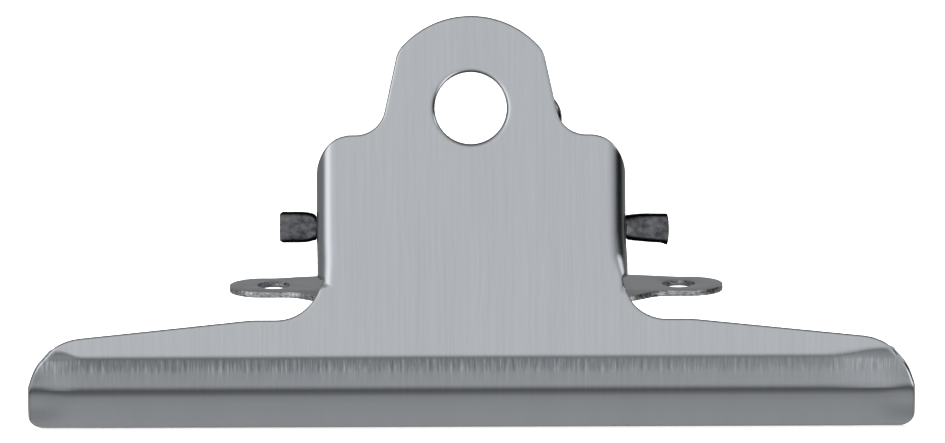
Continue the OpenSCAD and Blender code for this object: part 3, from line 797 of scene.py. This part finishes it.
def build_spring(sides=18):
    line = spring_line() + np.array([0.0, AXLE_Y, AXLE_Z])
    step = np.gradient(line, axis=0)
    along = step / np.linalg.norm(step, axis=1)[:, None]
    ref = np.cross(along[0], (0, 0, 1.0))
    rounds = [2 * math.pi * k / sides for k in range(sides)]
    rings = []
    for p, d in zip(line, along):
        ref = ref - (ref @ d) * d
        ref /= np.linalg.norm(ref)
        other = np.cross(d, ref)
        rings.append((p, d, np.array([ref * math.cos(a) + other * math.sin(a) for a in rounds])))
    # the wire's cropped ends have their corners broken: how far in, and how wide
    crop = [(0.0, 0.8), (0.06, 0.95), (0.2, 1.0)]
    whole = [(*rings[0], back, share) for back, share in crop]
    whole += [(*ring, 0.0, 1.0) for ring in rings[1:-1]]
    whole += [(*rings[-1], -back, share) for back, share in crop[::-1]]
    points = []
    for p, d, ring, back, share in whole:
        points += list(p + d * back + ring * WIRE_R * share)
    m = len(whole)
    faces = []
    for k in range(m - 1):
        for i in range(sides):
            a, b = k * sides + i, k * sides + (i + 1) % sides
            faces.append((a, b, b + sides, a + sides))
    faces.append(tuple(range(sides))[::-1])
    faces.append(tuple(range((m - 1) * sides, m * sides)))
    spring = solid_mesh("torsion_spring_wound", points, faces, [spring_wire])
    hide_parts("torsion_spring")
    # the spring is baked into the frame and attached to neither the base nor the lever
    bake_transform(spring)


# Floor, light and camera

def build_floor():
    """A pale floor just under the lip. The steel does not mirror it, but the lower half of the room."""
    mesh = bpy.data.meshes.new("floor")
    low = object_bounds()[0].z - 0.05 * MM
    mesh.from_pydata([(-3, -3, low), (3, -3, low), (3, 3, low), (-3, 3, low)], [], [(0, 1, 2, 3)])
    floor = placed("floor", mesh)
    paper = bpy.data.materials.new("white_studio_paper")
    paper.use_nodes = True
    sheet = paper.node_tree.nodes["Principled BSDF"]
    sheet.inputs["Base Color"].default_value = linear("#fafafa")
    sheet.inputs["Roughness"].default_value = 0.9
    sheet.inputs["Emission Color"].default_value = linear("#ffffff")
    sheet.inputs["Emission Strength"].default_value = 0.5
    mesh.materials.append(paper)
    floor.visible_glossy = False


def build_room():
    """The room that lights the steel and that it mirrors. The camera itself sees plain white."""
    world = bpy.data.worlds.new("studio")
    bpy.context.scene.world = world
    world.use_nodes = True
    tree = world.node_tree
    tree.nodes.clear()
    way = add_node(tree, "ShaderNodeTexCoord")
    parts = add_node(tree, "ShaderNodeSeparateXYZ", links={0: way.outputs["Generated"]})
    front = add_node(tree, "ShaderNodeMath", operation="MULTIPLY", values={1: -1.0},
                     links={0: parts.outputs["Y"]})
    bearing = add_node(tree, "ShaderNodeMath", operation="ARCTAN2",
                       links={0: parts.outputs["X"], 1: front.outputs[0]})
    height = add_node(tree, "ShaderNodeMath", operation="ARCSINE", links={0: parts.outputs["Z"]})
    down = add_node(tree, "ShaderNodeMath", operation="MULTIPLY", values={1: -1.0},
                    links={0: parts.outputs["Z"]})
    pitch = add_node(tree, "ShaderNodeMath", operation="ARCTAN2",
                     links={0: down.outputs[0], 1: front.outputs[0]})

    def panels(angle, whole, *stops):
        """Brightness along an angle that runs from -whole to whole, from stops in degrees."""
        place = add_node(tree, "ShaderNodeMapRange", links={"Value": angle.outputs[0]},
                         values={"From Min": -math.radians(whole), "From Max": math.radians(whole)})
        return add_node(tree, "ShaderNodeValToRGB", links={"Fac": place.outputs[0]},
                        stops=[((at + whole) / (2 * whole), (v, v, v, 1)) for at, v in stops])

    # round the clip, from behind it by its left, front and right: a soft panel on the left and a black flag
    # on the right
    around = panels(bearing, 180, (-180, 0.42), (-125, 0.22), (-76, 0.22), (-62, 1.1), (-52, 1.45),
                    (-40, 1.5), (-28, 0.98), (-12, 0.83), (0, 0.77), (12, 0.74), (25, 0.62), (38, 0.5),
                    (50, 0.33), (60, 0.08), (66, 0.0), (98, 0.0), (108, 0.1), (122, 0.2), (150, 0.32),
                    (180, 0.42))
    # the panel and the flag are only so tall: over them the walls are an even grey
    over = panels(bearing, 180, (-180, 0.42), (-90, 0.55), (-20, 0.77), (12, 0.74), (60, 0.6), (120, 0.45),
                  (180, 0.42))
    above = add_node(tree, "ShaderNodeMapRange", links={"Value": height.outputs[0]},
                     values={"From Min": math.radians(27), "From Max": math.radians(42)})
    walls = add_node(tree, "ShaderNodeMix", data_type="RGBA",
                     links={0: above.outputs[0], 6: around.outputs["Color"], 7: over.outputs["Color"]})
    # under the clip, from the table in front, past its near edge, to the pale cloth behind
    under = panels(pitch, 180, (-180, 0.65), (60, 0.65), (77, 0.29), (90, 0.37), (96, 0.46), (103, 0.78),
                   (118, 1.3), (127, 0.6), (150, 0.45), (180, 0.65))
    steep = add_node(tree, "ShaderNodeMapRange", links={"Value": height.outputs[0]},
                     values={"From Min": -math.radians(30), "From Max": -math.radians(8), "To Min": 1.0,
                             "To Max": 0.0})
    level = add_node(tree, "ShaderNodeMix", data_type="RGBA",
                     links={0: steep.outputs[0], 6: walls.outputs[2], 7: under.outputs["Color"]})
    # bottom to top: the table, the dark line of its edge, the lit wall and a grey ceiling
    upward = panels(height, 90, (-90, 0.75), (-84, 0.73), (-77, 0.62), (-72, 0.42), (-66, 0.22), (-60, 0.22),
                    (-53, 0.43), (-46, 0.62), (-40, 0.71), (-30, 0.78), (-18, 0.86), (0, 0.95), (34, 1.0),
                    (48, 0.9), (62, 0.62), (76, 0.5), (90, 0.42))
    lit = add_node(tree, "ShaderNodeMix", data_type="RGBA", blend_type="MULTIPLY", values={0: 1.0},
                   links={6: level.outputs[2], 7: upward.outputs["Color"]})
    # high up, the room is dim behind the clip and darkest at its two far corners, which draws the thin dark
    # line round the clip's rims
    back = panels(bearing, 180, (-180, 0.28), (-150, 0.22), (-120, 0.06), (-88, 1), (88, 1), (120, 0.06),
                  (150, 0.22), (180, 0.28))
    overhead = panels(height, 90, (-90, 0), (24, 0), (42, 1), (70, 1), (80, 0.35), (90, 0.35))
    ceiling = add_node(tree, "ShaderNodeMix", data_type="RGBA", values={6: (1, 1, 1, 1)},
                       links={0: overhead.outputs["Color"], 7: back.outputs["Color"]})
    dimmed = add_node(tree, "ShaderNodeMix", data_type="RGBA", blend_type="MULTIPLY", values={0: 1.0},
                      links={6: lit.outputs[2], 7: ceiling.outputs[2]})
    # a white card on the table to the right lights the upper left of the eye's rim, and a small lamp over the
    # flag draws the bright line round the jaw's right corner
    card_wide = panels(bearing, 180, (-180, 0), (18, 0), (28, 1), (66, 1), (76, 0), (180, 0))
    card_tall = panels(height, 90, (-90, 0), (-46, 0), (-40, 1), (-17, 1), (-12, 0), (90, 0))
    lamp_wide = panels(bearing, 180, (-180, 0), (54, 0), (60, 1), (92, 1), (100, 0), (180, 0))
    lamp_tall = panels(height, 90, (-90, 0), (17, 0), (21, 1.2), (31, 1.2), (35, 0), (90, 0))
    room = dimmed
    for wide, tall in ((card_wide, card_tall), (lamp_wide, lamp_tall)):
        patch = add_node(tree, "ShaderNodeMix", data_type="RGBA", blend_type="MULTIPLY", values={0: 1.0},
                         links={6: wide.outputs["Color"], 7: tall.outputs["Color"]})
        room = add_node(tree, "ShaderNodeMix", data_type="RGBA", blend_type="ADD", values={0: 1.0},
                        links={6: room.outputs[2], 7: patch.outputs[2]})
    seen = add_node(tree, "ShaderNodeLightPath")
    steel_sees = add_node(tree, "ShaderNodeBackground", values={"Strength": 1.0},
                          links={"Color": room.outputs[2]})
    eye_sees = add_node(tree, "ShaderNodeBackground", values={"Color": linear("#ffffff"), "Strength": 1.0})
    both = add_node(tree, "ShaderNodeMixShader", links={0: seen.outputs["Is Camera Ray"],
                                                        1: steel_sees.outputs[0], 2: eye_sees.outputs[0]})
    add_node(tree, "ShaderNodeOutputWorld", links={"Surface": both.outputs[0]})


def build_lights():
    """Two soft lights aimed at the clip, each with a place and a width in metres and a power in watts."""
    for name, place, width, power in (("soft_light_left", (-0.7, -0.75, 0.75), 0.6, 9.0),
                                      ("soft_light_top", (0.1, -0.1, 1.2), 1.0, 22.0)):
        light = bpy.data.lights.new(name, "AREA")
        light.shape = "SQUARE"
        light.size = width
        light.energy = power
        stand = placed(name, light)
        stand.location = place
        stand.visible_glossy = False
        stand.rotation_euler = (Vector((0, 0, 0)) - Vector(place)).to_track_quat("-Z", "Y").to_euler()


def build_camera():
    """A long lens aimed from in front and above, with the photo's slight roll."""
    camera = bpy.data.cameras.new("camera")
    camera.sensor_width = SENSOR
    camera.lens = SENSOR * CAMERA_AWAY / VIEW_WIDTH
    camera.clip_start, camera.clip_end = 0.05, 20
    eye = placed("camera", camera)
    aim = Vector((AIM_X, AXLE_Y + AIM_UP * math.sin(CAMERA_TILT), AXLE_Z + AIM_UP * math.cos(CAMERA_TILT)))
    eye.location = (aim + CAMERA_AWAY * Vector((0, -math.cos(CAMERA_TILT), math.sin(CAMERA_TILT)))) * MM
    eye.rotation_euler = (Matrix.Rotation(math.pi / 2 - CAMERA_TILT, 3, "X")
                          @ Matrix.Rotation(CAMERA_ROLL, 3, "Z")).to_euler()
    bpy.context.scene.camera = eye
    bpy.context.scene.view_settings.view_transform = "Standard"


build_lever()
build_base()
build_axle()
build_spring()
build_floor()
build_room()
build_lights()
build_camera()
